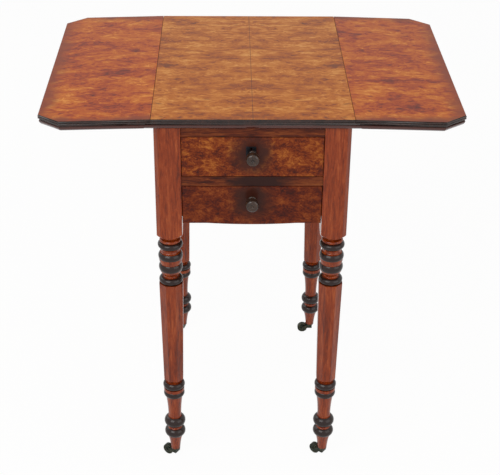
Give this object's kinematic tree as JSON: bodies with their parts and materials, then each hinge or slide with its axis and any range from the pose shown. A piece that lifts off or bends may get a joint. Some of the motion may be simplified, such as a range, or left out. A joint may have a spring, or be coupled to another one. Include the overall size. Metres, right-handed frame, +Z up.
{
  "type": "drop-leaf work table",
  "caption": "Small drop-leaf sewing and work table with canted leaves, drawers, turned and faceted legs, fly brackets and castors.",
  "frame": {"origin": "on the floor under the middle of the whole table, knobs included, with the leaves raised", "axes": "+Z up, +X to the right across the front, -Y towards the front where the drawers open"},
  "size_m": [0.7006, 0.4974, 0.72],
  "materials": {
    "walnut_top": "French-polished burr walnut veneer",
    "walnut_leaf": "French-polished burr walnut veneer, redder",
    "walnut_leg": "polished turned walnut with ebonised beads",
    "walnut_rail": "polished walnut",
    "walnut_drawer_front": "polished burr walnut veneer",
    "ebonised_knob": "ebonised and polished",
    "oak_lining": "bare oak",
    "pine_carcass": "bare pine",
    "beech_fly": "stained beech",
    "iron_hinge": "dark wrought iron",
    "iron_screw": "dark iron",
    "brass_lock": "aged brass",
    "dark_escutcheon": "brass gone almost black",
    "brass_castor": "brass with a dark green-black patina"
  },
  "bodies": {
    "frame": {"centre_top": "walnut_top", "top_screws": "iron_screw", "hinge_top_screws": "iron_screw", "hinge_pins": "iron_hinge", "hinge_fixed_plates_left": "iron_hinge", "hinge_fixed_plates_right": "iron_hinge", "top_rail": "walnut_rail", "divider_rail": "walnut_rail", "back_panel": "walnut_rail", "side_panel_left": "walnut_rail", "side_panel_right": "walnut_rail", "leg_front_left": "walnut_leg", "leg_front_right": "walnut_leg", "leg_back_left": "walnut_leg", "leg_back_right": "walnut_leg", "upper_runner_left": "pine_carcass", "upper_runner_right": "pine_carcass", "lower_runner_left": "pine_carcass", "lower_runner_right": "pine_carcass", "kicker_left": "pine_carcass", "kicker_right": "pine_carcass", "fly_rail_left": "beech_fly", "fly_rail_right": "beech_fly", "fly_pins": "iron_hinge", "castor_caps": "brass_castor"},
    "leaf_left": {"leaf_left": "walnut_leaf", "hinge_leaf_plates_left": "iron_hinge", "hinge_leaf_screws_left": "iron_screw"},
    "fly_left": {"fly_bracket_left": "beech_fly"},
    "leaf_right": {"leaf_right": "walnut_leaf", "hinge_leaf_plates_right": "iron_hinge", "hinge_leaf_screws_right": "iron_screw"},
    "fly_right": {"fly_bracket_right": "beech_fly"},
    "upper_drawer": {"upper_drawer_front": "walnut_drawer_front", "upper_drawer_side_left": "oak_lining", "upper_drawer_side_right": "oak_lining", "upper_drawer_bottom": "oak_lining", "upper_drawer_back": "oak_lining", "upper_drawer_knob": "ebonised_knob", "escutcheon": "dark_escutcheon", "lock_case": "brass_lock"},
    "lock_bolt": {"lock_bolt": "brass_lock"},
    "lower_drawer": {"lower_drawer_front": "walnut_drawer_front", "lower_drawer_side_left": "oak_lining", "lower_drawer_side_right": "oak_lining", "lower_drawer_bottom": "oak_lining", "lower_drawer_back": "oak_lining", "lower_drawer_knob": "ebonised_knob"},
    "castor_front_left": {"castor_front_left_horn": "brass_castor", "castor_front_left_axle": "brass_castor"},
    "wheel_front_left": {"castor_front_left_wheel": "brass_castor"},
    "castor_front_right": {"castor_front_right_horn": "brass_castor", "castor_front_right_axle": "brass_castor"},
    "wheel_front_right": {"castor_front_right_wheel": "brass_castor"},
    "castor_back_left": {"castor_back_left_horn": "brass_castor", "castor_back_left_axle": "brass_castor"},
    "wheel_back_left": {"castor_back_left_wheel": "brass_castor"},
    "castor_back_right": {"castor_back_right_horn": "brass_castor", "castor_back_right_axle": "brass_castor"},
    "wheel_back_right": {"castor_back_right_wheel": "brass_castor"}
  },
  "joints": [
    {"name": "leaf_right_hinge", "type": "hinge", "parent": "frame", "child": "leaf_right", "pos_m": [0.165, 0.0077, 0.7035], "axis": [0, 1, 0], "range_deg": [0, 88.4]},
    {"name": "leaf_left_hinge", "type": "hinge", "parent": "frame", "child": "leaf_left", "pos_m": [-0.165, 0.0077, 0.7035], "axis": [0, -1, 0], "range_deg": [0, 88.4]},
    {"name": "fly_right_swing", "type": "hinge", "parent": "frame", "child": "fly_right", "pos_m": [0.1514, -0.0503, 0.673], "axis": [0, 0, 1], "range_deg": [-90, 0]},
    {"name": "fly_left_swing", "type": "hinge", "parent": "frame", "child": "fly_left", "pos_m": [-0.1514, 0.0657, 0.673], "axis": [0, 0, 1], "range_deg": [-90, 0]},
    {"name": "upper_drawer_slide", "type": "slide", "parent": "frame", "child": "upper_drawer", "axis": [0, -1, 0], "range_m": [0, 0.3]},
    {"name": "lower_drawer_slide", "type": "slide", "parent": "frame", "child": "lower_drawer", "axis": [0, -1, 0], "range_m": [0, 0.3]},
    {"name": "lock_bolt_throw", "type": "slide", "parent": "upper_drawer", "child": "lock_bolt", "axis": [0, 0, 1], "range_m": [0, 0.005]},
    {"name": "castor_front_left_swivel", "type": "hinge", "parent": "frame", "child": "castor_front_left", "pos_m": [-0.14, -0.2027, 0.015], "axis": [0, 0, 1], "continuous": true},
    {"name": "wheel_front_left_spin", "type": "hinge", "parent": "castor_front_left", "child": "wheel_front_left", "pos_m": [-0.15342, -0.19399, 0.0105], "axis": [-0.5446, -0.8387, 0], "continuous": true},
    {"name": "castor_front_right_swivel", "type": "hinge", "parent": "frame", "child": "castor_front_right", "pos_m": [0.14, -0.2027, 0.015], "axis": [0, 0, 1], "continuous": true},
    {"name": "wheel_front_right_spin", "type": "hinge", "parent": "castor_front_right", "child": "wheel_front_right", "pos_m": [0.12739, -0.19285, 0.0105], "axis": [-0.6157, -0.788, 0], "continuous": true},
    {"name": "castor_back_left_swivel", "type": "hinge", "parent": "frame", "child": "castor_back_left", "pos_m": [-0.14, 0.2181, 0.015], "axis": [0, 0, 1], "continuous": true},
    {"name": "wheel_back_left_spin", "type": "hinge", "parent": "castor_back_left", "child": "wheel_back_left", "pos_m": [-0.15546, 0.22224, 0.0105], "axis": [-0.2588, -0.9659, 0], "continuous": true},
    {"name": "castor_back_right_swivel", "type": "hinge", "parent": "frame", "child": "castor_back_right", "pos_m": [0.14, 0.2181, 0.015], "axis": [0, 0, 1], "continuous": true},
    {"name": "wheel_back_right_spin", "type": "hinge", "parent": "castor_back_right", "child": "wheel_back_right", "pos_m": [0.124, 0.2181, 0.0105], "axis": [0, -1, 0], "continuous": true}
  ]
}
